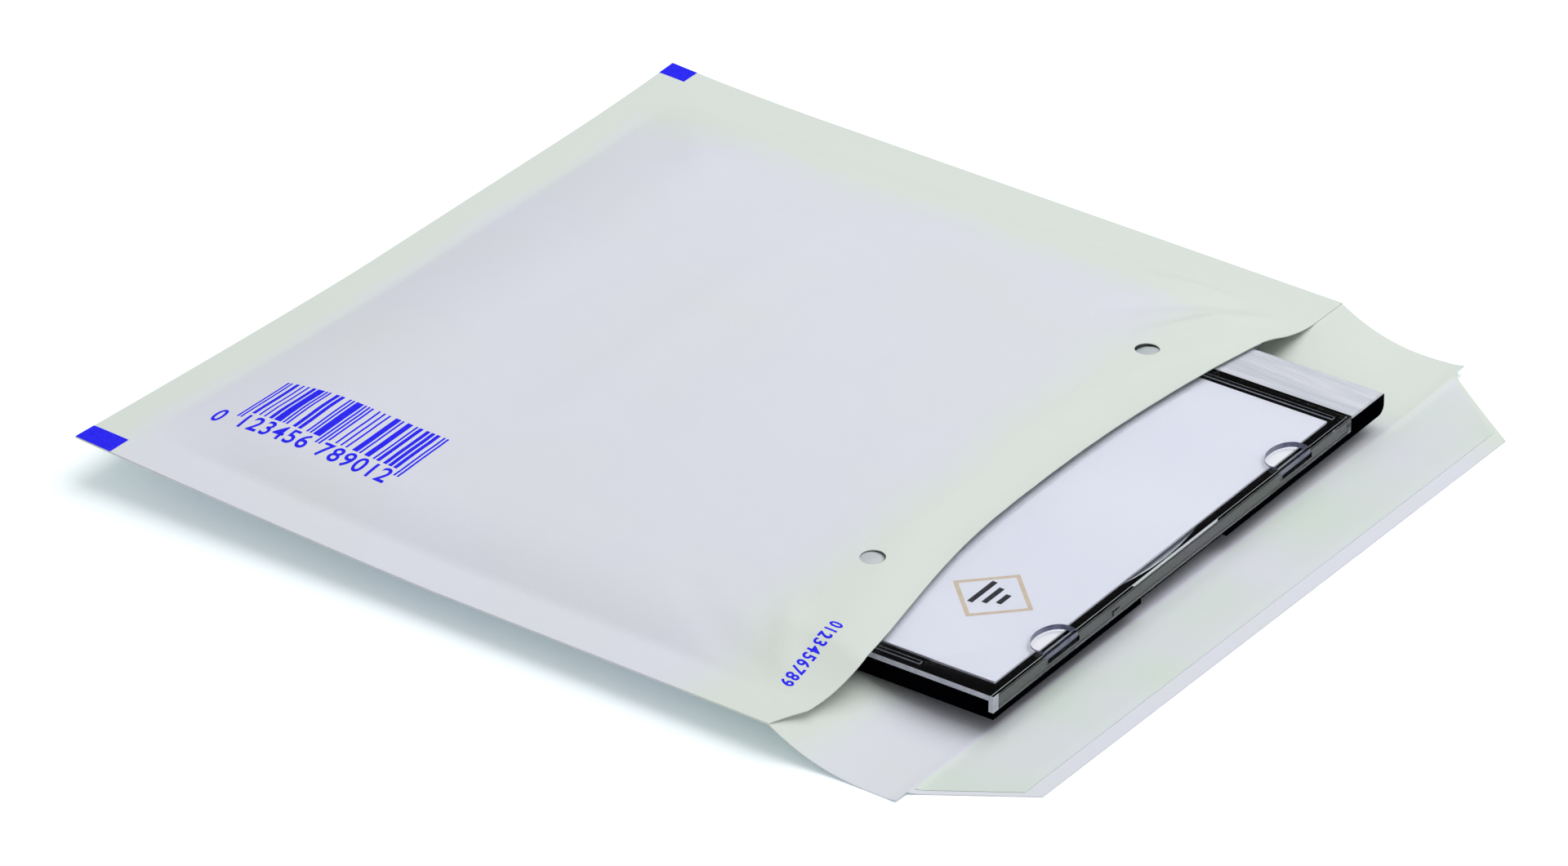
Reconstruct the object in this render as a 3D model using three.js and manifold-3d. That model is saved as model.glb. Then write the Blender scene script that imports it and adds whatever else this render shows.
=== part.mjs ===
// A white padded envelope for a disc, open at its mouth, with a slim disc case drawn partly out of it.
// Millimetres, +Z up. X runs across the mouth. Y runs from the flap's outer edge, which is negative,
// to the closed end. The origin is on the table, under the middle of the open envelope.
import * as THREE from "three";
import { mergeVertices } from "three/addons/utils/BufferGeometryUtils.js";
import Module from "manifold-3d";

const wasm = await Module();
wasm.setup();

// The envelope's paper: one sheet, folded at the closed end and glued along both sides.
const paper = 0.2;
const seamWidth = 10; // glued margin at each side and at the closed end
const sideSwell = 17; // distance over which the walls part, inwards from a side seam
const endSwell = 32; // the same, from the closed end's seam
const sideRoom = 0.7; // flat wall left at each side of the case
const endRoom = 5.5; // flat wall left behind the case when it is pushed right in
const crownHeight = 2.3; // the front wall arches that much higher in its middle than over the case's edges
const mouthBow = 3.5; // the front wall's edge bows in that much in its middle
const mouthLead = 4.4; // the same edge juts out that much over the case's opening edge
const leadSpread = 36; // over which the lead dies away across the mouth
const leadTaper = 8; // from the sheet's side, where the edge has no lead, to the full lead
const bowFade = 45; // over which bow and lead die away from the mouth
const clearance = 0.3; // between pieces that lie on each other

// The bubble film that lines both walls.
const film = 3;
const leastFilm = 0.9; // pressed thin over the case's edges
const filmSetback = 6; // from the mouth
const filmEdgeGap = 5; // from the seams' inner line
const pocketEdgeGap = 7; // from the seams' inner line, where the two layers of film meet
const leastPocket = 0.7; // height of the pocket where the layers meet

// The flap, which carries the back wall on past the mouth.
const flapLength = 51.5;
const shoulderLength = 30; // from the mouth to the notches at the flap's sides
const settleLength = 25; // over which the flap comes down from the seams to the table
const settlePower = 2.4;
const notchWidth = 3.5;
const edgeWidth = 164; // the flap's outer edge

// The glue on the flap and the silicone paper over it.
const glue = 0.1;
const liner = 0.1;
const glueFrom = 32; // from the mouth
const glueTo = 46;
const linerFrom = 30.6;
const linerTo = 48;
const linerSideGap = 1.5;
const glueSideGap = 6;

// Two holes punched through the paper of the front wall. The film shows under them.
const holeDiameter = 5.2;
const holeSpacing = 99.2;
const holeShift = 3.4; // of the pair, off the envelope's middle
const holeSetbacks = [14.2, 16.8]; // from the mouth

// The slim disc case, in its own frame: U along its width from the opening edge to the spine,
// V from the edge that shows to the edge inside the envelope, W up from its floor.
const caseDrawnOut = 31.5; // how far it stands out of the mouth, at its opening edge
const caseShift = 0.9; // off the envelope's middle, towards the spine's side
const caseTurn = 1.2; // degrees
const floor = 1.2;
const wall = 1.2;
const spineWidth = 12.6;
const spineRound = 2;
const stripThickness = 0.8;
const stripRibs = 14;
const stripRibHeight = 0.25;
const fingerNotchWidth = 31;
const fingerNotchDepth = 1;
const fingerNotchPlace = 67.5; // its middle, along U
const plate = 1.2; // the lid's top
const lidLip = 1.1; // the lid's side walls
const tabWidth = 11;
const tabReach = 6.5;
const tabStraight = 2.6; // before the tab's round end begins
const tabThickness = 0.6;
const tabPlaces = [24.5, 109]; // along U
const catchWidth = 2.4; // a low bump on each of the lid's side walls
const catchHeight = 1;
const catchProud = 0.25;
const catchPlace = 43; // along U
const ribWidth = 1;
const ribHeight = 0.3;
const ribPlaces = [3.2, 127.4]; // along U
const ribStarts = [19, 3]; // along V, from the edge that shows
const hingePinRadius = 0.9;
const hingePinInset = 3.2; // from the lid's spine edge, along U
const hingeArm = 1.1;
const pinCover = 0.4; // plastic left outside each pin's hole

// What the case holds. The lid's side walls stand round the larger of the two.
const bookletSize = 120;
const bookletThickness = 0.5;
const bookletInset = 4.9; // from the opening edge
const spineRoom = 4.5; // from the booklet to the lid's spine edge
const sideRoomInLid = 1.4;
const discDiameter = 120;
const discHole = 15;
const discThickness = 1.2;
const hubProud = 0.2; // the hub stands that much over the disc

const contents = Math.max(bookletSize, discDiameter);
const lidWidth = bookletInset + contents + spineRoom;
const caseWidth = lidWidth + spineWidth;
const caseDepth = contents + 2 * (lidLip + sideRoomInLid);
const hubTop = floor + clearance + discThickness + hubProud;
const bookletUnderside = hubTop + clearance;
const lidUnderside = bookletUnderside + bookletThickness + clearance;
const caseHeight = lidUnderside + plate;

const turn = THREE.MathUtils.degToRad(caseTurn);
const turnedWidth = caseWidth * Math.cos(turn) + caseDepth * Math.sin(turn);
const halfWidth = turnedWidth / 2 + sideRoom + sideSwell + seamWidth;
const envelopeDepth = caseDepth + endRoom + endSwell + seamWidth;
const totalLength = envelopeDepth + flapLength;
const mouthY = flapLength - totalLength / 2;
const closedY = mouthY + envelopeDepth;
const layerOnTable = paper + clearance + film + clearance; // what lies between the table and the case
const seamHeight = layerOnTable + caseHeight / 2;
const seamInner = halfWidth - seamWidth;
const pocketHalf = seamInner - sideSwell; // half the width over which the walls lie flat on the case
const endInner = closedY - seamWidth;
const edgeRise = caseHeight / 2 + 2 * clearance + leastFilm; // of the front wall over the case's edges

function partedFromEnd(y) {
  return Math.sin((THREE.MathUtils.clamp((endInner - y) / endSwell, 0, 1) * Math.PI) / 2);
}

// How far the walls have parted at a point: 0 in the seams, 1 over the case.
function parted(x, y) {
  const side = THREE.MathUtils.clamp((seamInner - Math.abs(x)) / sideSwell, 0, 1);
  return Math.sin((side * Math.PI) / 2) * partedFromEnd(y);
}

// A parabola across the front wall: 1 in its middle, 0 from the case's edges on.
function arch(x) {
  return Math.max(0, 1 - (x / pocketHalf) ** 2);
}

function crown(x, y) {
  return crownHeight * arch(x) * partedFromEnd(y);
}

// The outer faces of the walls, as distances from the seams' middle plane.
function frontOutside(x, y) {
  return paper + edgeRise * parted(x, y) + crown(x, y);
}

function backOutside(x, y) {
  return paper + (seamHeight - paper) * parted(x, y);
}

// The film's outer faces and the pocket's, as distances from the same plane.
function frontFilm(x, y) {
  return frontOutside(x, y) - paper - clearance;
}

function backFilm(x, y) {
  return backOutside(x, y) - paper - clearance;
}

function frontPocket(x, y) {
  return Math.max(leastPocket / 2, frontFilm(x, y) - crown(x, y) - leastFilm);
}

function backPocket(x, y) {
  return Math.max(leastPocket / 2, backFilm(x, y) - film);
}

// How far the front wall's edge juts out of a straight mouth.
function lead(x) {
  const taper = Math.min(1, (halfWidth - Math.abs(x)) / leadTaper);
  return mouthLead * taper * Math.exp(-(((x + pocketHalf) / leadSpread) ** 2));
}

// How far a point of the front wall lies behind its place on a straight mouth.
function bowedIn(x, y) {
  return (mouthBow * arch(x) - lead(x)) * Math.max(0, 1 - (y - mouthY) / bowFade) ** 2;
}

// Height of the flap's underside: the mouth's own line settles to the table over settleLength.
function flapUnderside(x, y) {
  const share = Math.max(0, 1 - (mouthY - y) / settleLength);
  return (seamHeight - backOutside(x, mouthY)) * share ** settlePower;
}

function spread(from, to, steps) {
  return Array.from({ length: steps + 1 }, (_, i) => from + ((to - from) * i) / steps);
}

function mirrored(halves) {
  return [...halves.map((x) => -x).reverse(), 0, ...halves];
}

// A closed mesh between two heights over a grid. Each row's own reach scales the stations across it,
// and each point may be set back along Y.
function layer({ rows, stations, reach, bottom, top, setBack = () => 0 }) {
  const positions = [];
  const across = stations.length;
  const farStation = stations[across - 1];
  for (const height of [bottom, top]) {
    for (const y of rows) {
      for (const station of stations) {
        const x = (station / farStation) * reach(y);
        const placedY = y + setBack(x, y);
        positions.push(x, placedY, height(x, placedY));
      }
    }
  }
  const upper = rows.length * across;
  const faces = [];
  const quad = (a, b, c, d) => faces.push(a, b, c, a, c, d);
  for (let j = 0; j + 1 < rows.length; j++) {
    for (let i = 0; i + 1 < across; i++) {
      const a = j * across + i;
      quad(a, a + across, a + across + 1, a + 1);
      quad(upper + a, upper + a + 1, upper + a + across + 1, upper + a + across);
    }
    const left = j * across;
    const right = left + across - 1;
    quad(left, left + upper, left + across + upper, left + across);
    quad(right, right + across, right + across + upper, right + upper);
  }
  const last = (rows.length - 1) * across;
  for (let i = 0; i + 1 < across; i++) {
    quad(i, i + 1, i + 1 + upper, i + upper);
    quad(last + i, last + i + upper, last + i + 1 + upper, last + i + 1);
  }
  const geometry = new THREE.BufferGeometry();
  geometry.setAttribute("position", new THREE.Float32BufferAttribute(positions, 3));
  geometry.setIndex(faces);
  return geometry;
}

// three.js geometry to a manifold-3d solid, and back.
function solidOf(geometry) {
  const bare = geometry.clone();
  bare.deleteAttribute("normal");
  bare.deleteAttribute("uv");
  const merged = mergeVertices(bare, 1e-4);
  return new wasm.Manifold(
    new wasm.Mesh({
      numProp: 3,
      vertProperties: new Float32Array(merged.attributes.position.array),
      triVerts: new Uint32Array(merged.index.array),
    }),
  );
}

function geometryOf(solid) {
  const { vertProperties, triVerts } = solid.getMesh();
  const geometry = new THREE.BufferGeometry();
  geometry.setAttribute("position", new THREE.BufferAttribute(vertProperties, 3));
  geometry.setIndex(new THREE.BufferAttribute(triVerts, 1));
  const shown = geometry.toNonIndexed();
  shown.computeVertexNormals();
  return shown;
}

function joined(...solids) {
  return solids.reduce((all, next) => all.add(next));
}

function block([x0, x1], [y0, y1], [z0, z1]) {
  const geometry = new THREE.BoxGeometry(x1 - x0, y1 - y0, z1 - z0);
  return solidOf(geometry.translate((x0 + x1) / 2, (y0 + y1) / 2, (z0 + z1) / 2));
}

// An upright cylinder, 32 sides unless said.
function post(radius, x, y, [z0, z1], sides = 32) {
  const geometry = new THREE.CylinderGeometry(radius, radius, z1 - z0, sides).rotateX(Math.PI / 2);
  return solidOf(geometry.translate(x, y, (z0 + z1) / 2));
}

const materials = {
  whitePaper: new THREE.MeshStandardMaterial({ color: 0xe9ecec, roughness: 0.75 }),
  bubbleFilm: new THREE.MeshStandardMaterial({ color: 0xdfe5e8, roughness: 0.3 }),
  glue: new THREE.MeshStandardMaterial({ color: 0xe6e4d4, roughness: 0.4 }),
  siliconePaper: new THREE.MeshStandardMaterial({ color: 0xe4eae2, roughness: 0.35 }),
  blackPlastic: new THREE.MeshStandardMaterial({ color: 0x0c0c10, roughness: 0.2 }),
  clearPlastic: new THREE.MeshStandardMaterial({
    color: 0xe8ecf4,
    roughness: 0.05,
    transparent: true,
    opacity: 0.35,
  }),
  ribbedPlastic: new THREE.MeshStandardMaterial({ color: 0xcdd1d6, roughness: 0.35 }),
  coatedPaper: new THREE.MeshStandardMaterial({ color: 0xf2f2fa, roughness: 0.4 }),
  disc: new THREE.MeshStandardMaterial({ color: 0xc8ccd2, roughness: 0.15, metalness: 0.9 }),
};

// Each mesh's name, solid and material.
function named(name, solid, material) {
  const mesh = new THREE.Mesh(geometryOf(solid), material);
  mesh.name = name;
  return mesh;
}

// Grid lines: close together where the walls part, wide apart where they are flat.
const archLines = spread(0, pocketHalf, 6).slice(1, -1);
const swellLines = spread(pocketHalf, seamInner, 8);
const stations = mirrored([...archLines, ...swellLines, halfWidth]);
const bodyRows = [
  ...spread(mouthY, mouthY + bowFade, 4),
  ...spread(endInner - endSwell, endInner, 10),
  closedY,
];

function frontWall() {
  return solidOf(
    layer({
      rows: bodyRows,
      stations,
      reach: () => halfWidth,
      bottom: (x, y) => seamHeight + frontOutside(x, y) - paper,
      top: (x, y) => seamHeight + frontOutside(x, y),
      setBack: bowedIn,
    }),
  );
}

function backWall() {
  return solidOf(
    layer({
      rows: bodyRows,
      stations,
      reach: () => halfWidth,
      bottom: (x, y) => seamHeight - backOutside(x, y),
      top: (x, y) => seamHeight - backOutside(x, y) + paper,
    }),
  );
}

// Half the flap's width at a distance from the mouth, past the notches.
function taperedReach(distance) {
  const share = (distance - shoulderLength) / (flapLength - shoulderLength);
  return halfWidth - notchWidth + (edgeWidth / 2 - halfWidth + notchWidth) * share;
}

function flap() {
  const rest = {
    stations,
    bottom: flapUnderside,
    top: (x, y) => flapUnderside(x, y) + paper,
  };
  const shoulders = layer({
    ...rest,
    rows: [mouthY - shoulderLength, ...spread(mouthY - settleLength, mouthY, 10)],
    reach: () => halfWidth,
  });
  const tip = layer({
    ...rest,
    rows: [mouthY - flapLength, mouthY - shoulderLength, mouthY - shoulderLength + notchWidth / 2],
    reach: (y) => taperedReach(Math.max(mouthY - y, shoulderLength)),
  });
  return joined(solidOf(shoulders), solidOf(tip));
}

function punchedHoles() {
  const through = [seamHeight, 2 * (seamHeight + edgeRise + crownHeight)];
  const places = [holeShift - holeSpacing / 2, holeShift + holeSpacing / 2];
  const holes = places.map((x, i) => post(holeDiameter / 2, x, mouthY + holeSetbacks[i], through, 24));
  return joined(...holes);
}

function paperEnvelope() {
  return joined(backWall(), frontWall(), flap()).subtract(punchedHoles());
}

function bubbleLining() {
  const lines = (gap) => mirrored([...archLines, ...spread(pocketHalf, seamInner - gap, 6)]);
  const rows = (from, gap) => [from, ...spread(endInner - endSwell, endInner - gap, 8)];
  const outside = layer({
    rows: rows(mouthY + filmSetback, filmEdgeGap),
    stations: lines(filmEdgeGap),
    reach: () => seamInner - filmEdgeGap,
    bottom: (x, y) => seamHeight - backFilm(x, y),
    top: (x, y) => seamHeight + frontFilm(x, y),
  });
  const pocket = layer({
    rows: rows(mouthY - filmSetback, pocketEdgeGap),
    stations: lines(pocketEdgeGap),
    reach: () => seamInner - pocketEdgeGap,
    bottom: (x, y) => seamHeight - backPocket(x, y),
    top: (x, y) => seamHeight + frontPocket(x, y),
  });
  return solidOf(outside).subtract(solidOf(pocket));
}

// A flat strip across the flap, between two distances from the mouth.
function flapStrip(from, to, sideGap, [z0, z1]) {
  return solidOf(
    layer({
      rows: [mouthY - to, mouthY - from],
      stations: [-1, 0, 1],
      reach: (y) => taperedReach(mouthY - y) - sideGap,
      bottom: () => z0,
      top: () => z1,
    }),
  );
}

// The case's base: a floor with a finger notch at each long side, a tray with the disc's recess and hub,
// and the hollow spine that the lid's pins turn in.
const discU = bookletInset + contents / 2;
const discV = caseDepth / 2;
const tabTop = bookletUnderside - clearance;
const deck = tabTop - tabThickness - clearance; // top of the tray round the disc
const stripUnderside = caseHeight - stripThickness;
const pinU = lidWidth + hingePinInset;
const pinW = (floor + stripUnderside) / 2;

function caseBase() {
  const spineFrom = lidWidth + clearance;
  const insideLip = lidLip + clearance;
  const spineOutline = new THREE.Shape();
  spineOutline.moveTo(spineFrom, 0);
  spineOutline.lineTo(caseWidth - spineRound, 0);
  spineOutline.absarc(caseWidth - spineRound, spineRound, spineRound, -Math.PI / 2, 0, false);
  spineOutline.lineTo(caseWidth, stripUnderside);
  spineOutline.lineTo(spineFrom, stripUnderside);
  const along = { depth: caseDepth, bevelEnabled: false, curveSegments: 6 };
  const spine = new THREE.ExtrudeGeometry(spineOutline, along);
  spine.rotateX(Math.PI / 2).translate(0, caseDepth, 0);
  const hollow = block(
    [spineFrom - wall, caseWidth - wall],
    [wall, caseDepth - wall],
    [floor, stripUnderside + wall],
  );
  const floorPlate = block([0, spineFrom + wall], [0, caseDepth], [0, floor]);
  const trayWidth = lidWidth - hingeArm - clearance;
  const tray = block([0, trayWidth], [insideLip, caseDepth - insideLip], [floor / 2, deck]);
  const endWall = block([0, wall], [insideLip, caseDepth - insideLip], [floor / 2, lidUnderside - clearance]);
  const recess = post(discDiameter / 2 + 2 * clearance, discU, discV, [floor, caseHeight], 64);
  const hub = post(discHole / 2 - clearance, discU, discV, [floor / 2, hubTop]);
  const fingerNotch = block(
    [fingerNotchPlace - fingerNotchWidth / 2, fingerNotchPlace + fingerNotchWidth / 2],
    [-fingerNotchDepth, fingerNotchDepth],
    [-floor, 2 * floor],
  );
  const pinHole = acrossPin(hingePinRadius + clearance, [pinCover, 2 * wall]);
  const base = joined(floorPlate, solidOf(spine).subtract(hollow), tray.subtract(recess), endWall, hub);
  return base.subtract(mirroredInDepth(joined(fingerNotch, pinHole)));
}

// A cylinder along V on the lid's turning line.
function acrossPin(radius, [from, to]) {
  const geometry = new THREE.CylinderGeometry(radius, radius, to - from, 16);
  return solidOf(geometry.translate(pinU, (from + to) / 2, pinW));
}

// A half-moon that reaches in from a long edge: its straight sides end in a half ellipse.
function halfMoon(centreU, [w0, w1]) {
  const half = tabWidth / 2;
  const outline = new THREE.Shape();
  outline.moveTo(centreU - half, 0);
  outline.lineTo(centreU + half, 0);
  outline.lineTo(centreU + half, tabStraight);
  outline.absellipse(centreU, tabStraight, half, tabReach - tabStraight, 0, Math.PI, false, 0);
  const upwards = { depth: w1 - w0, bevelEnabled: false, curveSegments: 12 };
  return solidOf(new THREE.ExtrudeGeometry(outline, upwards).translate(0, 0, w0));
}

function mirroredInDepth(solid) {
  return joined(solid, solid.mirror([0, 1, 0]).translate([0, caseDepth, 0]));
}

// The lid: a clear plate with side walls on its long sides, half-moon tabs under the booklet with an opening
// of the same shape in the plate over each and a window in the side wall beside it, a low catch on each side
// wall, the ribs that stop the booklet, and an arm with a pin at each end of the spine.
function caseLid() {
  const plateSpan = [lidUnderside, caseHeight];
  const insideLips = block([0, lidWidth], [lidLip, caseDepth - lidLip], [0, 2 * caseHeight]);
  const moons = tabPlaces.map((u) => halfMoon(u, [floor, 2 * caseHeight]));
  const openings = joined(...moons).intersect(insideLips);
  const top = block([0, lidWidth], [0, caseDepth], plateSpan).subtract(mirroredInDepth(openings));
  const wholeLip = block([0, lidWidth], [0, lidLip], [floor + clearance, caseHeight]);
  const windows = tabPlaces.map((u) =>
    block([u - tabWidth / 2, u + tabWidth / 2], [-lidLip, 2 * lidLip], [tabTop, lidUnderside]),
  );
  const lip = wholeLip.subtract(joined(...windows));
  const tabs = joined(...tabPlaces.map((u) => halfMoon(u, [tabTop - tabThickness, tabTop])));
  const catchMiddle = (floor + clearance + lidUnderside) / 2;
  const catchBump = block(
    [catchPlace - catchWidth / 2, catchPlace + catchWidth / 2],
    [-catchProud, lidLip / 2],
    [catchMiddle - catchHeight / 2, catchMiddle + catchHeight / 2],
  );
  const armFrom = lidWidth - hingeArm;
  const armSpan = [wall + clearance, wall + clearance + hingeArm];
  const armHeight = [pinW - hingePinRadius, pinW + hingePinRadius];
  const bridge = block([armFrom, lidWidth], [0, armSpan[1]], armHeight);
  const arm = block([armFrom, pinU + hingePinRadius], armSpan, armHeight);
  const pin = acrossPin(hingePinRadius, [pinCover + clearance, armSpan[0] + hingeArm / 2]);
  const side = joined(lip, tabs, catchBump, bridge, arm, pin);
  const ribSpan = [lidUnderside - ribHeight, caseHeight];
  const ribs = ribPlaces.map((u, i) =>
    block([u - ribWidth / 2, u + ribWidth / 2], [ribStarts[i], caseDepth - ribStarts[i]], ribSpan),
  );
  return joined(top, mirroredInDepth(side), ...ribs);
}

// The ribbed strip that closes the spine, flush with the lid.
function spineStrip() {
  const from = lidWidth + clearance;
  const bed = caseHeight - stripRibHeight;
  const pitch = (caseWidth - spineRound / 2 - from) / stripRibs;
  const outline = new THREE.Shape();
  outline.moveTo(from, stripUnderside);
  outline.lineTo(caseWidth, stripUnderside);
  outline.lineTo(caseWidth - spineRound / 2, bed);
  for (let rib = stripRibs - 1; rib >= 0; rib--) {
    outline.lineTo(from + (rib + 0.5) * pitch, caseHeight);
    outline.lineTo(from + rib * pitch, bed);
  }
  const geometry = new THREE.ExtrudeGeometry(outline, { depth: caseDepth, bevelEnabled: false });
  return solidOf(geometry.rotateX(Math.PI / 2).translate(0, caseDepth, 0));
}

function booklet() {
  const v0 = (caseDepth - bookletSize) / 2;
  const span = [bookletUnderside, bookletUnderside + bookletThickness];
  return block([bookletInset, bookletInset + bookletSize], [v0, v0 + bookletSize], span);
}

function disc() {
  const span = [floor + clearance, floor + clearance + discThickness];
  const hole = post(discHole / 2, discU, discV, [0, caseHeight]);
  return post(discDiameter / 2, discU, discV, span, 72).subtract(hole);
}

const slimCase = new THREE.Group();
slimCase.add(
  named("case_base", caseBase(), materials.blackPlastic),
  named("case_lid", caseLid(), materials.clearPlastic),
  named("spine_strip", spineStrip(), materials.ribbedPlastic),
  named("booklet", booklet(), materials.coatedPaper),
  named("disc", disc(), materials.disc),
);
slimCase.position.set(caseShift - caseWidth / 2, mouthY - caseDrawnOut, layerOnTable);
slimCase.rotation.z = turn;

const envelope = new THREE.Group();
const gluedOn = [paper, paper + glue];
const coveredWith = [paper + glue, paper + glue + liner];
envelope.add(
  named("paper_envelope", paperEnvelope(), materials.whitePaper),
  named("bubble_lining", bubbleLining(), materials.bubbleFilm),
  named("glue_band", flapStrip(glueFrom, glueTo, glueSideGap, gluedOn), materials.glue),
  named("release_liner", flapStrip(linerFrom, linerTo, linerSideGap, coveredWith), materials.siliconePaper),
);

const part = new THREE.Group();
part.add(envelope, slimCase);

export default part;
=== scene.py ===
import math

import bmesh
import bpy
import numpy as np
from mathutils import Matrix, Vector


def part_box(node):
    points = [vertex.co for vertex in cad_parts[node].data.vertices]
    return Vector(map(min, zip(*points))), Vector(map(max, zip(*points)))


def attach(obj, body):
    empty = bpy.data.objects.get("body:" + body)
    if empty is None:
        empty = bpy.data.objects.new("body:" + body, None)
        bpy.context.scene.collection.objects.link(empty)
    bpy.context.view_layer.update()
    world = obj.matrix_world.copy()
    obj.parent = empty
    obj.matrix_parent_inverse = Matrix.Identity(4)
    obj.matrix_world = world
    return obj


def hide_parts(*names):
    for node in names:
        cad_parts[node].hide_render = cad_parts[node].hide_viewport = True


# A padded paper envelope for a disc, with a slim disc case drawn partly out of it.
# Lengths in the dictionaries are millimetres, and meshes are written in metres.

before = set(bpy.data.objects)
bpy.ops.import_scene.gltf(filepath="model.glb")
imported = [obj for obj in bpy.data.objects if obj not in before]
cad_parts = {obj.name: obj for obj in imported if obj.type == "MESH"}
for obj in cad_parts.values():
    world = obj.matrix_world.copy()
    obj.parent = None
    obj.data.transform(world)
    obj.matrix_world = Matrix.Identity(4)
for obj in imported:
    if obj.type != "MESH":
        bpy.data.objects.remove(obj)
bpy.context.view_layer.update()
mm = 0.001


# Camera and light

view = {
    "azimuth": -53.80,  # degrees, 0 looks along +Y
    "elevation": 30.72,
    "distance": 1891.1,
    "lens": 214.1,
    "sensor": 36,
    "farClip": 50,  # metres
    "target": (-1.48, 7.98, 0.0),
}

studio = {
    "worldHorizon": 0.3,  # strength low down
    "worldTop": 0.72,
    "worldRise": (0.5, 0.85),  # the upward part of a direction, over which one turns into the other
    "worldMirrored": 0.03,  # strength that glossy faces mirror, as from a dark card
    "keyPower": 15.3,  # watts
    "keySize": 1500,
    "keyPlace": (520, -160, 1330),
    "fillPower": 1.5,
    "fillSize": 700,
    "fillPlace": (-900, -900, 500),
    "floorColour": "#FFFFFF",
    "floorLift": 0.24,  # light added to the floor where the camera sees it
    "floorLiftColour": "#CCF1FA",
    "floorSize": 12000,
}


def linear(hexColour):
    # sRGB hex to linear: c / 12.92 below 0.04045, else ((c + 0.055) / 1.055) to the power 2.4
    values = [int(hexColour[i:i + 2], 16) / 255 for i in (1, 3, 5)]
    return [c / 12.92 if c <= 0.04045 else ((c + 0.055) / 1.055) ** 2.4 for c in values] + [1.0]


def addNode(tree, kind, links=None, inputs=None, **settings):
    # one node: its settings, its input values, and links given as input name: output socket
    node = tree.nodes.new(kind)
    for name, value in settings.items():
        setattr(node, name, value)
    for name, value in (inputs or {}).items():
        node.inputs[name].default_value = value
    for name, socket in (links or {}).items():
        tree.links.new(socket, node.inputs[name])
    return node


def addObject(name, data):
    # a new object with its data, in the scene
    made = bpy.data.objects.new(name, data)
    bpy.context.scene.collection.objects.link(made)
    return made


def emptyMaterial(name):
    material = bpy.data.materials.new(name)
    material.use_nodes = True
    material.node_tree.nodes.clear()
    return material, material.node_tree


def makeCamera():
    # the camera's right, up and back directions from azimuth and elevation
    azimuth, elevation = (math.radians(view[key]) for key in ("azimuth", "elevation"))
    right = Vector((math.cos(azimuth), math.sin(azimuth), 0))
    back = Vector((
        math.sin(azimuth) * math.cos(elevation),
        -math.cos(azimuth) * math.cos(elevation),
        math.sin(elevation),
    ))
    up = back.cross(right)
    camera = addObject("camera", bpy.data.cameras.new("camera"))
    place = (Vector(view["target"]) + view["distance"] * back) * mm
    turn = Matrix((right, up, back)).transposed().to_4x4()
    camera.matrix_world = Matrix.Translation(place) @ turn
    camera.data.lens = view["lens"]
    camera.data.sensor_width = view["sensor"]
    camera.data.clip_end = view["farClip"]
    bpy.context.scene.camera = camera


def makeLamp(name, power, size, place):
    # a square area lamp that faces the object
    data = bpy.data.lights.new(name, "AREA")
    data.energy = power
    data.size = size * mm
    lamp = addObject(name, data)
    lamp.location = Vector(place) * mm
    lamp.rotation_euler = (-lamp.location).to_track_quat("-Z", "Y").to_euler()


def makeWorld():
    # strength rises with height, from a dim horizon to a bright top, and glossy faces mirror a dark one
    world = bpy.data.worlds.new("studioWorld")
    world.use_nodes = True
    bpy.context.scene.world = world
    tree = world.node_tree
    tree.nodes.clear()
    direction = addNode(tree, "ShaderNodeTexCoord")
    height = addNode(tree, "ShaderNodeSeparateXYZ", {"Vector": direction.outputs["Generated"]})
    riseStart, riseEnd = studio["worldRise"]
    strength = addNode(
        tree, "ShaderNodeMapRange", {"Value": height.outputs["Z"]},
        {
            "From Min": riseStart, "From Max": riseEnd,
            "To Min": studio["worldHorizon"], "To Max": studio["worldTop"],
        },
    )
    rays = addNode(tree, "ShaderNodeLightPath")
    shown = addNode(
        tree, "ShaderNodeMix",
        {"Factor": rays.outputs["Is Glossy Ray"], "A": strength.outputs["Result"]},
        {"B": studio["worldMirrored"]},
    )
    sky = addNode(tree, "ShaderNodeBackground", {"Strength": shown.outputs["Result"]})
    addNode(tree, "ShaderNodeOutputWorld", {"Surface": sky.outputs["Background"]})


def makeFloor():
    # a matt white sweep, with a little light of its own where the camera sees it
    material, tree = emptyMaterial("whitePaperSweep")
    rays = addNode(tree, "ShaderNodeLightPath")
    lift = addNode(
        tree, "ShaderNodeMath", {0: rays.outputs["Is Camera Ray"]}, {1: studio["floorLift"]},
        operation="MULTIPLY",
    )
    matt = addNode(tree, "ShaderNodeBsdfDiffuse", None, {"Color": linear(studio["floorColour"])})
    glow = addNode(
        tree, "ShaderNodeEmission", {"Strength": lift.outputs[0]},
        {"Color": linear(studio["floorLiftColour"])},
    )
    both = addNode(
        tree, "ShaderNodeAddShader", {0: matt.outputs["BSDF"], 1: glow.outputs["Emission"]},
    )
    addNode(tree, "ShaderNodeOutputMaterial", {"Surface": both.outputs["Shader"]})
    half = studio["floorSize"] / 2 * mm
    mesh = bpy.data.meshes.new("floor")
    corners = [(-half, -half, 0), (half, -half, 0), (half, half, 0), (-half, half, 0)]
    mesh.from_pydata(corners, [], [(0, 1, 2, 3)])
    floor = addObject("floor", mesh)
    floor.data.materials.append(material)


makeCamera()
makeWorld()
makeLamp("keyLamp", studio["keyPower"], studio["keySize"], studio["keyPlace"])
makeLamp("fillLamp", studio["fillPower"], studio["fillSize"], studio["fillPlace"])
makeFloor()
bpy.context.scene.view_settings.view_transform = "Standard"
print("stage: camera, lamps and floor")


# Places that the pieces share, in millimetres, from the frame

def nodeBox(name):
    # a node's lowest and highest corners
    low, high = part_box(name)
    return np.array(low) / mm, np.array(high) / mm


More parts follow.
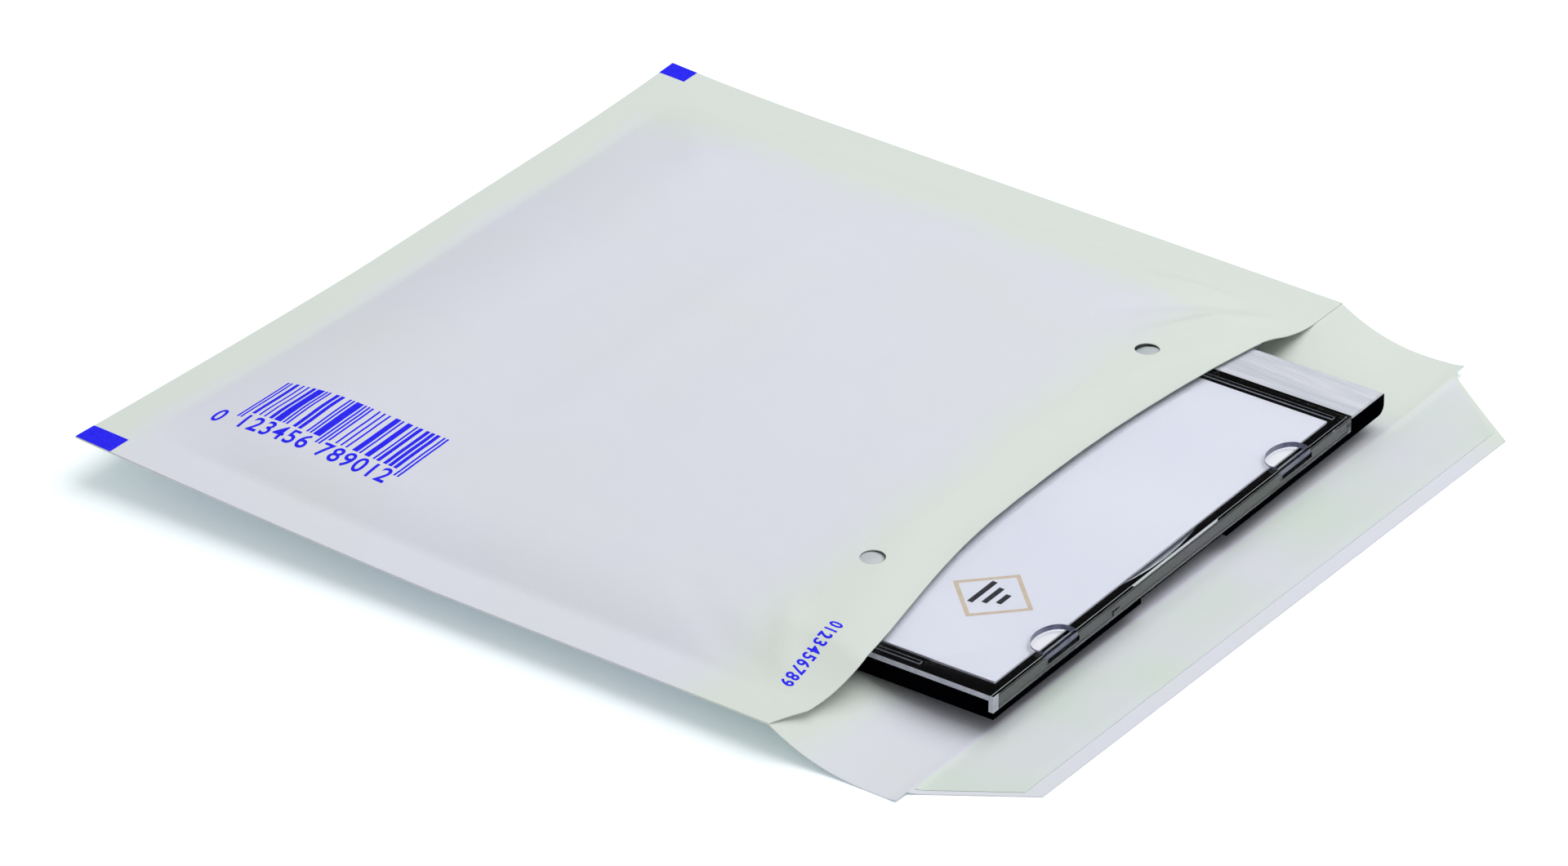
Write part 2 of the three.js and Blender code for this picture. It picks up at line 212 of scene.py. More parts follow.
def nodePoints(name):
    # a node's own mesh points
    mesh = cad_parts[name].data
    points = np.empty(len(mesh.vertices) * 3)
    mesh.vertices.foreach_get("co", points)
    return points.reshape(-1, 3) / mm


sheetLow, sheetHigh = nodeBox("paper_envelope")
halfWidth = sheetHigh[0]
closedEnd = sheetHigh[1]
flapEdge = sheetLow[1]
wallTop = sheetHigh[2]
caseBottom = nodeBox("case_base")[0][2]
caseTop = nodeBox("case_lid")[1][2]
bookletTop = nodeBox("booklet")[1][2]

# The case is turned a little, so its own directions come from two of the booklet's corners
bookletPoints = nodePoints("booklet")[:, :2]
bookletCorner = bookletPoints[np.argmin(bookletPoints[:, 1])]
cornerInside = bookletPoints[np.argmin(bookletPoints[:, 0])]
openingSide = cornerInside - bookletCorner
intoCase = openingSide / np.hypot(*openingSide)
acrossCase = np.array([intoCase[1], -intoCase[0]])

envelope = {
    "paper": 0.2,
    "flapLength": 51.5,
    "seamWidth": 10.0,
    "sideSwell": 17.0,  # from the side seams, over which the walls part
    "endSwell": 32.0,  # from the closed end's seam
    "crownHeight": 2.3,  # that the front wall is higher in the middle
    "mouthBow": 3.5,  # depth of the arc that the front wall's edge is cut in
    "mouthLead": 4.4,  # the front wall's edge juts out that much over the case's opening edge
    "leadSpread": 36.0,  # half width of that bell curve
    "leadTaper": 8.0,  # from the sides, over which it begins
    "bowFade": 45.0,  # from the mouth, over which the rows of the grid become straight again
    "lipDroop": 2.9,  # the front wall's edge lies down towards the case, that much at most,
    "lipClear": 0.5,  # keeps clear of it,
    "lipReach": 11.0,  # starts to lie down that far in,
    "lipDraw": 230.0,  # and draws back by its drop times 1 + x / lipDraw
    "tautReach": 30.0,  # from the mouth, over which the walls are drawn tight beside the case
    "tautPower": 1.8,
    "tautFall": 34.0,  # from the seams, over which the back wall's edge comes down at the mouth
    "shoulder": 30.0,  # from the mouth to the flap's notches
    "settle": 25.0,  # from the mouth, over which the flap comes down to the table
    "settlePower": 2.4,
    "notch": 3.5,  # depth of the notches
    "foldRise": 0.4,  # height of the ridge where the flap folds
    "foldHalf": 1.1,  # and its half width
    "edgeWidth": 164.0,  # of the flap's outer edge
    "holeDiameter": 5.2,
    "holeSpacing": 99.2,
    "holeShift": 3.4,  # of their middle towards the spine
    "holeSetbacks": (14.2, 16.8),  # from the mouth, near and far
    "holeCut": (0.5, 5.0),  # the cutters run from that far over the seams to that far over the walls
    "creaseOnset": 3,  # creases are whole where the walls are parted by a third
    "creaseEnds": 0.7,  # power of the half sine that tapers them
}

mouth = flapEdge + envelope["flapLength"]
seamInner = halfWidth - envelope["seamWidth"]
pocketHalf = seamInner - envelope["sideSwell"]
endInner = closedEnd - envelope["seamWidth"]
seamHeight = (caseBottom + caseTop) / 2
edgeRise = wallTop - envelope["crownHeight"] - envelope["paper"] - seamHeight  # without the crown


def smooth(t):
    # 3t^2 - 2t^3 on 0 to 1
    t = np.clip(t, 0, 1)
    return t * t * (3 - 2 * t)


def partedFromEnd(y):
    # a quarter sine: 0 at the closed end's seam, 1 from endSwell on
    return np.sin(np.clip((endInner - y) / envelope["endSwell"], 0, 1) * math.pi / 2)


def taut(y):
    # a smooth step: 1 at the mouth, 0 from tautReach inwards
    return smooth(1 - (y - mouth) / envelope["tautReach"])


def parted(x, y):
    # a quarter sine from each side seam, which turns to a power of the distance where the paper is taut
    side = np.clip((seamInner - np.abs(x)) / envelope["sideSwell"], 0, 1)
    slack = np.sin(side * math.pi / 2)
    tight = side ** envelope["tautPower"]
    return (slack + (tight - slack) * taut(y)) * partedFromEnd(y)


def arch(x):
    # a parabola: 1 in the middle, 0 from pocketHalf on
    return np.clip(1 - (x / pocketHalf) ** 2, 0, None)


def edgeDrop(x):
    # how far the front wall's edge lies down: its height over the case less lipClear, at most lipDroop
    above = seamHeight + edgeRise * parted(x, mouth) + envelope["crownHeight"] * arch(x) - caseTop
    return np.clip(above - envelope["lipClear"], 0, envelope["lipDroop"])


def edgeSetback(x):
    # of the front wall's edge from the mouth: the arch less a bell curve over the case's opening edge,
    # and what the lip draws back as it lies down
    taper = np.clip((halfWidth - np.abs(x)) / envelope["leadTaper"], 0, 1)
    lead = envelope["mouthLead"] * taper * np.exp(-((x + pocketHalf) / envelope["leadSpread"]) ** 2)
    return envelope["mouthBow"] * arch(x) - lead + edgeDrop(x) * (1 + x / envelope["lipDraw"])


creases = {
    # each runs from one point to another, with its height and half width
    "farCornerFold": ((92, -58), (56, -38), 1.2, 2.2),
    "farCornerDip": ((95, -54), (60, -24), -1.0, 3.0),
    "farCornerRidge": ((94, -50), (74, -12), 0.6, 3.0),
    "farMouthFold": ((72, -55), (30, -46), 0.45, 3.0),
    "nearCornerFold": ((-94, -58), (-64, -40), 0.55, 3.0),
    "nearCornerDip": ((-90, -50), (-72, -18), -0.45, 4.0),
    "farEndFold": ((76, 92), (58, 70), 0.28, 4.0),
    "nearEndFold": ((-78, 92), (-60, 72), 0.28, 4.0),
    "spineRidge": ((66, -30), (64, 34), 0.25, 4.5),
    "openingRidge": ((-69, -30), (-71, 34), 0.25, 4.5),
    "caseEndRidge": ((-60, 37), (60, 39), 0.35, 6.0),
}


def creaseHeight(x, y):
    # the sum of soft ridges: height * exp(-(distance to the segment / half width)^2), ends tapered
    total = np.zeros(np.broadcast(x, y).shape)
    for start, end, height, half in creases.values():
        along = np.subtract(end, start)
        length = math.hypot(*along)
        share = ((x - start[0]) * along[0] + (y - start[1]) * along[1]) / length ** 2
        off = ((x - start[0]) * along[1] - (y - start[1]) * along[0]) / length
        taper = np.sin(np.clip(share, 0, 1) * math.pi) ** envelope["creaseEnds"]
        total = total + height * taper * np.exp(-(off / half) ** 2)
    return total


waves = {
    # paper that lies on air: height, length of a radian along X and Y, start
    "slant": (0.14, 11, -17, 1.9),
    "ripple": (0.07, 6.1, 7.3, 0),
    "cushion": (0.22, 19, 27, 0.8, 0.3),  # with a start for each of its two sines
    "share": 0.6,  # of them that the front wall takes
}


def waviness(x, y):
    # the product of two sines, and the sum of two slanted sines
    height, alongX, alongY, startX, startY = waves["cushion"]
    total = height * np.sin(x / alongX + startX) * np.sin(y / alongY + startY)
    for name in ("slant", "ripple"):
        height, alongX, alongY, start = waves[name]
        total = total + height * np.sin(x / alongX + y / alongY + start)
    return total


bubbles = {
    "pitch": 11.0,
    "diameter": 9.4,
    "centre": (3.4, 2.6),  # of one bubble, so that one lies under each punched hole
    "domePower": 0.28,  # pressed flat by the paper
    "printThrough": 0.04,
}


def bubbleField(x, y):
    # domes on a hexagonal net: 1 - (distance to the nearest centre / radius)^2, to the power domePower
    pitch = bubbles["pitch"]
    x, y = x - bubbles["centre"][0], y - bubbles["centre"][1]
    rowStep = pitch * math.sqrt(3) / 2
    squares = []
    for phase in (0, 1):
        rowPlace = (y / rowStep - phase) / 2
        rowCentre = (np.round(rowPlace) * 2 + phase) * rowStep
        colPlace = x / pitch - phase / 2
        colCentre = (np.round(colPlace) + phase / 2) * pitch
        squares.append((x - colCentre) ** 2 + (y - rowCentre) ** 2)
    left = 1 - np.minimum(*squares) / (bubbles["diameter"] / 2) ** 2
    return np.clip(left, 0, None) ** bubbles["domePower"]


lifts = {
    # corners that curl off the table: place, height, reach, power
    "nearClosedCorner": ((-100, 112), 3.4, 92, 1.3),
    "farClosedCorner": ((100, 112), 1.1, 40, 2),
    "farNotch": ((100, -90), 1.4, 34, 2),
}


def lifted(x, y):
    # the height of each curl times a power of what is left of its reach
    total = np.zeros(np.broadcast(x, y).shape)
    for place, height, reach, power in lifts.values():
        left = 1 - np.hypot(x - place[0], y - place[1]) / reach
        total = total + height * np.clip(left, 0, None) ** power
    return total


def lipDrop(x, y):
    # the edge's drop times the square of what is left of its reach
    edge = mouth + edgeSetback(x)
    left = np.clip(1 - (y - edge) / envelope["lipReach"], 0, 1)
    return edgeDrop(x) * left ** 2


def frontHeight(x, y):
    # outer face of the front wall: seam, swell, crown, waves, creases and faint bubbles,
    # less the lip's drop
    loose = parted(x, y)
    rise = envelope["paper"] + edgeRise * loose + envelope["crownHeight"] * arch(x) * partedFromEnd(y)
    detail = waviness(x, y) * waves["share"] + bubbles["printThrough"] * bubbleField(x, y)
    folds = loose * detail + creaseHeight(x, y) * smooth(loose * envelope["creaseOnset"])
    return seamHeight + lifted(x, y) + rise + folds - lipDrop(x, y)


def backRise(x, y):
    # the back wall lies on the table under the case and rises to the seams, straight at the mouth
    slack = 1 - parted(x, y)
    straight = 1 - np.clip((seamInner - np.abs(x)) / envelope["tautFall"], 0, 1)
    return (seamHeight - envelope["paper"]) * (slack + (straight - slack) * taut(y))


def backHeight(x, y):
    # underside of the back wall
    return backRise(x, y) + lifted(x, y)


def flapUnderside(x, y):
    # the mouth's line settles to the table with a power of what is left of the way,
    # and a low bell curve stands where the flap folds, by the notches
    distance = mouth - y
    share = np.clip(1 - distance / envelope["settle"], 0, 1) ** envelope["settlePower"]
    ridge = np.exp(-((distance - envelope["shoulder"]) / envelope["foldHalf"]) ** 2)
    return backRise(x, mouth) * share + lifted(x, y) + envelope["foldRise"] * ridge


def bowedIn(x, y):
    # the edge's setback times the square of what is left of bowFade
    return edgeSetback(x) * np.clip(1 - (y - mouth) / envelope["bowFade"], 0, None) ** 2


# Meshes

paperSharp = 35  # degrees between two faces from which their edge is sharp
weld = 1e-7  # metres


def pieceFrom(name, points, faces, material, sharpAngle=paperSharp):
    # points in millimetres to a mesh in metres, smooth but for its edges sharper than sharpAngle
    mesh = bpy.data.meshes.new(name)
    mesh.from_pydata((np.asarray(points) * mm).tolist(), [], np.asarray(faces).tolist())
    mesh.polygons.foreach_set("use_smooth", np.ones(len(mesh.polygons), dtype=bool))
    mesh.set_sharp_from_angle(angle=math.radians(sharpAngle))
    mesh.materials.append(material)
    return addObject(name, mesh)


def grid(x, y, z):
    # three arrays as one of points
    return np.stack(np.broadcast_arrays(x, y, z), axis=-1)


def closedSheet(bottom, top):
    # two grids of points, rows along +Y and columns along +X, joined round their rims: points and quads
    rows, columns = bottom.shape[:2]
    index = np.arange(rows * columns).reshape(rows, columns)
    a, b, c, d = index[:-1, :-1], index[:-1, 1:], index[1:, 1:], index[1:, :-1]
    upper = rows * columns
    rim = np.concatenate([index[0, :], index[1:, -1], index[-1, -2::-1], index[-2:0:-1, 0]])
    ahead = np.roll(rim, -1)
    faces = np.concatenate([
        np.stack([a, d, c, b], axis=-1).reshape(-1, 4),
        np.stack([a, b, c, d], axis=-1).reshape(-1, 4) + upper,
        np.stack([rim, ahead, ahead + upper, rim + upper], axis=-1),
    ])
    return np.concatenate([bottom.reshape(-1, 3), top.reshape(-1, 3)]), faces


def merged(parts):
    # several (points, faces) pairs as one
    points, faces, count = [], [], 0
    for partPoints, partFaces in parts:
        points.append(partPoints)
        faces.append(partFaces + count)
        count += len(partPoints)
    return np.concatenate(points), np.concatenate(faces)


def steps(start, end, size):
    # evenly spaced values, about size apart
    return np.linspace(start, end, max(2, int(round(abs(end - start) / size)) + 1))


def evaluatedMesh(piece):
    # a new mesh of an object as its modifiers or its font make it
    return bpy.data.meshes.new_from_object(piece.evaluated_get(bpy.context.evaluated_depsgraph_get()))


def split(shape, place, direction):
    # divides a bmesh's faces where they cross a plane
    everything = shape.verts[:] + shape.edges[:] + shape.faces[:]
    bmesh.ops.bisect_plane(shape, geom=everything, plane_co=place, plane_no=direction)


def punch(piece, places, radius, low, high, sides=48):
    # upright round cutters taken out of a piece by one exact boolean
    turn = np.linspace(0, 2 * math.pi, sides + 1)[:-1]
    around = np.arange(sides)
    ahead = (around + 1) % sides
    mantle = np.stack([around, ahead, ahead + sides, around + sides], axis=-1)
    points, faces = [], []
    for number, (x, y) in enumerate(places):
        for height in (low, high):
            ring = grid(x + radius * np.cos(turn), y + radius * np.sin(turn), height)
            points.extend(ring.tolist())
        start = number * 2 * sides
        faces.append((start + around[::-1]).tolist())
        faces.append((start + sides + around).tolist())
        faces.extend((start + mantle).tolist())
    mesh = bpy.data.meshes.new("cutter")
    mesh.from_pydata((np.array(points) * mm).tolist(), [], faces)
    cutter = addObject("cutter", mesh)
    cut = piece.modifiers.new("holes", "BOOLEAN")
    cut.object = cutter
    cut.operation = "DIFFERENCE"
    cut.solver = "EXACT"
    shaped = evaluatedMesh(piece)
    shaped.name = piece.name
    piece.modifiers.clear()
    piece.data = shaped
    shaped.set_sharp_from_angle(angle=math.radians(paperSharp))
    bpy.data.objects.remove(cutter)


def finish(piece, slot, *nodes):
    # every piece rides on the one body, and stands for its CAD nodes
    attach(piece, "root")
    if nodes:
        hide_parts(*nodes)
    return piece


# Materials

def surfaceShader(tree, bumpHeight=None, bumpDistance=0.0, links=None, inputs=None, lampTint=None):
    # a Principled shader, with a bump in millimetres if it has one; lampTint lets lamps through it
    shader = addNode(tree, "ShaderNodeBsdfPrincipled", links, inputs)
    if bumpHeight is not None:
        bump = addNode(tree, "ShaderNodeBump", {"Height": bumpHeight}, {"Distance": bumpDistance * mm})
        tree.links.new(bump.outputs["Normal"], shader.inputs["Normal"])
    surface = shader.outputs["BSDF"]
    if lampTint:
        rays = addNode(tree, "ShaderNodeLightPath")
        through = addNode(tree, "ShaderNodeBsdfTransparent", None, {"Color": linear(lampTint)})
        either = addNode(
            tree, "ShaderNodeMixShader",
            {0: rays.outputs["Is Shadow Ray"], 1: surface, 2: through.outputs["BSDF"]},
        )
        surface = either.outputs["Shader"]
    addNode(tree, "ShaderNodeOutputMaterial", {"Surface": surface})


def patches(tree, size, detail=2.0, roughness=0.5, stretch=(1, 1, 1)):
    # noise whose features are about size millimetres
    place = addNode(tree, "ShaderNodeTexCoord")
    stretched = addNode(
        tree, "ShaderNodeMapping", {"Vector": place.outputs["Object"]}, {"Scale": stretch},
    )
    noise = addNode(
        tree, "ShaderNodeTexNoise", {"Vector": stretched.outputs["Vector"]},
        {"Scale": 1 / (size * mm), "Detail": detail, "Roughness": roughness},
    )
    return noise.outputs["Fac"]


def between(tree, factor, low, high, start=0.35, end=0.65):
    # a colour ramp between two sRGB colours
    ramp = addNode(tree, "ShaderNodeValToRGB", {"Fac": factor})
    for stop, position, colour in zip(ramp.color_ramp.elements, (start, end), (low, high)):
        stop.position = position
        stop.color = linear(colour)
    return ramp.outputs["Color"]


paperTone = {
    # where the sheet turns from lavender to green, in millimetres
    "farSide": (66, 86),
    "closedEnd": (98, 110),
    "mouth": (-28, -52),
    "flapStart": (-76, -61),  # and back to lavender on the flap
    "drift": 0.5,  # share of the noise
    "driftSize": 34,
}


def greenShare(tree):
    # the greatest of the far side's ramp, the closed end's, and the product of the mouth's
    # and the flap's, mixed with noise
    place = addNode(tree, "ShaderNodeTexCoord")
    parts = addNode(tree, "ShaderNodeSeparateXYZ", {"Vector": place.outputs["Object"]})
    ramps = {}
    for name, axis in (("farSide", "X"), ("closedEnd", "Y"), ("mouth", "Y"), ("flapStart", "Y")):
        start, end = paperTone[name]
        ramp = addNode(
            tree, "ShaderNodeMapRange", {"Value": parts.outputs[axis]},
            {"From Min": start * mm, "From Max": end * mm}, interpolation_type="SMOOTHSTEP",
        )
        ramps[name] = ramp.outputs["Result"]
    band = addNode(
        tree, "ShaderNodeMath", {0: ramps["mouth"], 1: ramps["flapStart"]}, operation="MULTIPLY",
    )
    greater = addNode(
        tree, "ShaderNodeMath", {0: ramps["farSide"], 1: ramps["closedEnd"]}, operation="MAXIMUM",
    )
    greatest = addNode(
        tree, "ShaderNodeMath", {0: greater.outputs[0], 1: band.outputs[0]}, operation="MAXIMUM",
    )
    drift = patches(tree, paperTone["driftSize"], 1.5)
    return addNode(
        tree, "ShaderNodeMix", {"A": greatest.outputs[0], "B": drift}, {"Factor": paperTone["drift"]},
    ).outputs["Result"]


def uncoatedWhitePaper():
    # bleached kraft, machine finished: matt, a cool grey white that drifts between lavender and green
    material, tree = emptyMaterial("uncoatedWhitePaper")
    tone = between(tree, greenShare(tree), "#DFE1EC", "#DDE5DE", 0.22, 0.66)
    fibres = patches(tree, 0.6, 3.0, 0.6)
    clouds = patches(tree, 5.0, 2.0)
    height = addNode(tree, "ShaderNodeMath", {0: fibres, 1: clouds}, operation="ADD")
    surfaceShader(
        tree, height.outputs[0], 0.035, {"Base Color": tone}, {"Roughness": 0.72, "IOR": 1.45},
    )
    return material


def clearBubbleFilm():
    # blown polyethylene: soft, clear, a little milky, glossy on its bubbles
    material, tree = emptyMaterial("clearBubbleFilm")
    haze = between(tree, patches(tree, 8.0), "#CBD3D7", "#D6DDE0")
    surfaceShader(
        tree, patches(tree, 1.5), 0.02, {"Base Color": haze},
        {"Roughness": 0.3, "IOR": 1.51, "Transmission Weight": 0.18}, "#DDE2E6",
    )
    return material


def blueInk():
    # one-colour flexographic print: flat saturated blue, a little uneven where the paper drank it
    material, tree = emptyMaterial("blueInk")
    tone = between(tree, patches(tree, 0.8, 3.0), "#211CF7", "#2C28FD")
    surfaceShader(
        tree, None, 0, {"Base Color": tone}, {"Roughness": 0.55, "Specular IOR Level": 0.12},
    )
    return material


def mouldedBlackPolystyrene():
    # injection-moulded black polystyrene: deep and glossy, with faint flow marks
    material, tree = emptyMaterial("mouldedBlackPolystyrene")
    flow = patches(tree, 14, 2.0, 0.5, (1, 0.35, 1))
    tone = between(tree, flow, "#020204", "#050508")
    surfaceShader(
        tree, flow, 0.02, {"Base Color": tone},
        {"Roughness": 0.16, "IOR": 1.5, "Specular IOR Level": 0.0},
    )
    return material


def clearPolystyrene():
    # crystal polystyrene, polished mould: clear as glass, with dark and bright lines at its edges
    material, tree = emptyMaterial("clearPolystyrene")
    flow = patches(tree, 20, 1.0)
    surfaceShader(
        tree, flow, 0.01, None,
        {
            "Base Color": linear("#FBFCFF"), "Roughness": 0.02, "IOR": 1.49, "Transmission Weight": 1.0,
            "Specular IOR Level": 0.3,
        },
        "#F6F7FA",
    )
    return material


def paintedGlowPolystyrene():
    # the same plastic, painted light grey where its edges glow with light carried inside the plate: a
    # painted glow, rough and part clear
    material, tree = emptyMaterial("paintedGlowPolystyrene")
    tone = between(tree, patches(tree, 2.2, 2.0), "#C4C8D8", "#DDE0EA")
    surfaceShader(
        tree, patches(tree, 0.8), 0.01, {"Base Color": tone},
        {"Roughness": 0.32, "IOR": 1.49, "Transmission Weight": 0.25},
    )
    return material


def paintedShadePolystyrene():
    # painted shade on the walls of the half-moons: steep to the eye, they take a blue-grey for the dark
    # they show inside the plate
    material, tree = emptyMaterial("paintedShadePolystyrene")
    tone = between(tree, patches(tree, 3.0, 2.0), "#6E72A0", "#A2A6BC")
    surfaceShader(
        tree, patches(tree, 1.2), 0.01, {"Base Color": tone},
        {"Roughness": 0.18, "IOR": 1.49, "Transmission Weight": 0.3},
    )
    return material


def ribbedPolystyrene():
    # frosted strip with fine ribs along it: light grey, streaked lengthways
    material, tree = emptyMaterial("ribbedPolystyrene")
    streaks = patches(tree, 1.6, 2.0, 0.6, (1, 0.06, 1))
    tone = between(tree, streaks, "#D6DAE5", "#ECEEF8")
    surfaceShader(
        tree, streaks, 0.03, {"Base Color": tone},
        {"Roughness": 0.3, "IOR": 1.5, "Transmission Weight": 0.15},
    )
    return material


def coatedBookletPaper():
    # coated printing paper under the lid: brighter and cooler than the envelope, with a silk sheen
    material, tree = emptyMaterial("coatedBookletPaper")
    tone = between(tree, patches(tree, 40, 1.0), "#F1F2F9", "#F4F5FB")
    surfaceShader(
        tree, patches(tree, 0.7, 2.0), 0.004, {"Base Color": tone}, {"Roughness": 0.42, "IOR": 1.5},
    )
    return material


def metallisedDisc():
    # aluminium under polycarbonate: bright, with rings too fine to see that spread the light
    material, tree = emptyMaterial("metallisedDisc")
    rings = patches(tree, 3.0, 1.0)
    tone = between(tree, rings, "#D4D8DE", "#E2E4E8")
    surfaceShader(
        tree, rings, 0.004, {"Base Color": tone},
        {"Roughness": 0.16, "Metallic": 1.0, "Anisotropic": 0.6},
    )
    return material


def hotMeltGlue():
    # pressure-sensitive hot melt: pale amber, smooth and slightly wet
    material, tree = emptyMaterial("hotMeltGlue")
    tone = between(tree, patches(tree, 2.5, 2.0), "#E8E2C9", "#EFEAD8")
    surfaceShader(
        tree, patches(tree, 1.2), 0.02, {"Base Color": tone}, {"Roughness": 0.28, "IOR": 1.48},
    )
    return material


def siliconePaper():
    # glassine with a silicone coat: smoother and a touch greener than the envelope, low sheen
    material, tree = emptyMaterial("siliconePaper")
    tone = between(tree, patches(tree, 26, 1.5), "#D8E5DB", "#E0E3EB", 0.3, 0.7)
    surfaceShader(
        tree, patches(tree, 3.0, 2.0), 0.02, {"Base Color": tone},
        {"Roughness": 0.42, "IOR": 1.43, "Coat Weight": 0.15, "Coat Roughness": 0.3},
    )
    return material


paperWhite = uncoatedWhitePaper()
filmClear = clearBubbleFilm()
inkBlue = blueInk()
plasticBlack = mouldedBlackPolystyrene()
plasticClear = clearPolystyrene()
print("stage: materials")


# The envelope: a front sheet, and a back sheet that runs on as the flap

sheetGrid = {
    "frontStep": 1.15,
    "backStep": 3.0,
    "flapStep": 1.1,
    "acrossStep": 2.0,  # of the back wall and the flap
    "stripStep": 0.8,
    "notchStep": 0.02,  # between the two rows at the notches
    "skin": 0.01,  # left between the two sheets in the seams
}


def holePlaces():
    # half the spacing to each side of holeShift
    return [
        (envelope["holeShift"] + side * envelope["holeSpacing"] / 2, mouth + setback)
        for side, setback in zip((-1, 1), envelope["holeSetbacks"])
    ]


def frontSheet():
    # columns across, rows from the mouth to the closed end, each point set back by the bow
    x = steps(-halfWidth, halfWidth, sheetGrid["frontStep"])[None, :]
    y = steps(mouth, closedEnd, sheetGrid["frontStep"])[:, None]
    placedY = y + bowedIn(x, y)
    top = frontHeight(x, placedY)
    under = top - envelope["paper"] + sheetGrid["skin"]
    return closedSheet(grid(x, placedY, under), grid(x, placedY, top))


def flapReach(y):
    # half width: full down to the notches, then straight in to the outer edge
    distance = mouth - y
    share = (distance - envelope["shoulder"]) / (envelope["flapLength"] - envelope["shoulder"])
    inner = halfWidth - envelope["notch"]
    tapered = inner + (envelope["edgeWidth"] / 2 - inner) * share
    return np.where(distance <= envelope["shoulder"], halfWidth, tapered)


def backSheet():
    # stations across are scaled to each row's reach, and the step at the notches is two close rows
    notchY = mouth - envelope["shoulder"]
    y = np.concatenate([
        steps(flapEdge, notchY - sheetGrid["notchStep"], sheetGrid["flapStep"]),
        steps(notchY, mouth, sheetGrid["flapStep"]),
        steps(mouth, closedEnd, sheetGrid["backStep"])[1:],
    ])[:, None]
    x = steps(-1, 1, sheetGrid["acrossStep"] / halfWidth)[None, :] * flapReach(y)
    under = np.where(y < mouth, flapUnderside(x, y), backHeight(x, y))
    top = under + envelope["paper"] - sheetGrid["skin"]
    return closedSheet(grid(x, y, under), grid(x, y, top))


def makeEnvelope():
    # the punched front sheet and the back sheet, as one piece
    front = pieceFrom("frontSheet", *frontSheet(), paperWhite)
    low, high = np.add((seamHeight, wallTop), envelope["holeCut"])
    punch(front, holePlaces(), envelope["holeDiameter"] / 2, low, high)
    sheet = pieceFrom("paperSheet", *backSheet(), paperWhite)
    bpy.ops.object.select_all(action="DESELECT")
    front.select_set(True)
    sheet.select_set(True)
    bpy.context.view_layer.objects.active = sheet
    bpy.ops.object.join()
    finish(sheet, "white_paper", "paper_envelope")


makeEnvelope()
print("stage: paper envelope")


# The glue on the flap and the silicone paper over it

glueBand = {
    "start": 32.0,  # from the mouth
    "end": 46.0,
    "sideGap": 6.0,
    "lift": 0.0,  # over the flap
    "thickness": 0.1,
}

linerStrip = {
    "start": 30.6,
    "end": 48.0,
    "sideGap": 1.5,
    "lift": 0.01,
    "thickness": 0.1,
    "fall": 1.5,  # over which it comes down beside the glue
}


def overGlue(x, y):
    # 1 over the glue band, 0 from fall outwards, as a product of two smooth steps
    distance = mouth - y
    along = np.maximum(glueBand["start"] - distance, distance - glueBand["end"])
    across = np.abs(x) - (flapReach(y) - glueBand["sideGap"])
    return smooth(1 - along / linerStrip["fall"]) * smooth(1 - across / linerStrip["fall"])


def flapStrip(strip, rise=0.0):
    # a thin sheet on the flap, whose stations across follow the flap's reach, raised over the glue
    y = steps(mouth - strip["end"], mouth - strip["start"], sheetGrid["stripStep"])[:, None]
    across = steps(-1, 1, sheetGrid["acrossStep"] / halfWidth)[None, :]
    x = across * (flapReach(y) - strip["sideGap"])
    under = flapUnderside(x, y) + envelope["paper"] + strip["lift"] + rise * overGlue(x, y)
    return closedSheet(grid(x, y, under), grid(x, y, under + strip["thickness"]))


finish(pieceFrom("glueBand", *flapStrip(glueBand), hotMeltGlue()), "glue", "glue_band")
liner = pieceFrom("linerStrip", *flapStrip(linerStrip, glueBand["thickness"]), siliconePaper())
finish(liner, "silicone_paper", "release_liner")
print("stage: glue and release liner")


# The bubble film inside both walls

film = {
    "setback": 6.0,  # from the mouth
    "lipGap": 2.5,  # from the front wall's edge, at least
    "sideGap": 5.0,  # from the seams' inner line
    "endGap": 5.0,
    "frontThickness": 0.9,  # without what the crown gives it
    "backThickness": 3.0,
    "leastPocket": 0.35,  # half the pocket's height where the walls meet
    "flat": 0.15,  # the flat layer on the pocket's side
    "sheet": 0.05,  # what is left of it where it is pressed flat
    "clearance": 0.3,  # from the case
    "paperGap": 0.1,
    "step": 1.3,
    "sharpFrom": 60,  # degrees
}


def filmWall(side):
    # a flat layer at the pocket with domes out to the paper; side is 1 for the front, -1 for the back
    reach = seamInner - film["sideGap"]
    x = steps(-reach, reach, film["step"])[None, :]
    start = mouth + np.maximum(film["setback"], edgeSetback(x) + film["lipGap"])
    share = steps(0, 1, film["step"] / (endInner - mouth))[:, None]
    y = start + (endInner - film["endGap"] - start) * share
    loose = parted(x, y)
    middle = seamHeight + lifted(x, y)
    if side > 0:
        room = frontHeight(x, y) - envelope["paper"] - middle
        inner = edgeRise * loose - film["clearance"] - film["frontThickness"]
    else:
        room = middle - backHeight(x, y) - envelope["paper"]
        inner = (seamHeight - envelope["paper"]) * loose - film["clearance"] - film["backThickness"]
    outer = room - film["paperGap"]
    inner = np.minimum(np.maximum(film["leastPocket"], inner), outer - film["sheet"])
    domes = inner + film["flat"] + np.clip(outer - inner - film["flat"], 0, None) * bubbleField(x, y)
    domes = np.minimum(domes, outer)
    lower, upper = (inner, domes) if side > 0 else (-domes, -inner)
    return closedSheet(grid(x, y, middle + lower), grid(x, y, middle + upper))


def makeLining():
    # both walls' film, as one piece
    points, faces = merged([filmWall(1), filmWall(-1)])
    lining = pieceFrom("bubbleLining", points, faces, filmClear, film["sharpFrom"])
    finish(lining, "bubble_film", "bubble_lining")


makeLining()
print("stage: bubble lining")


# Print on the front wall

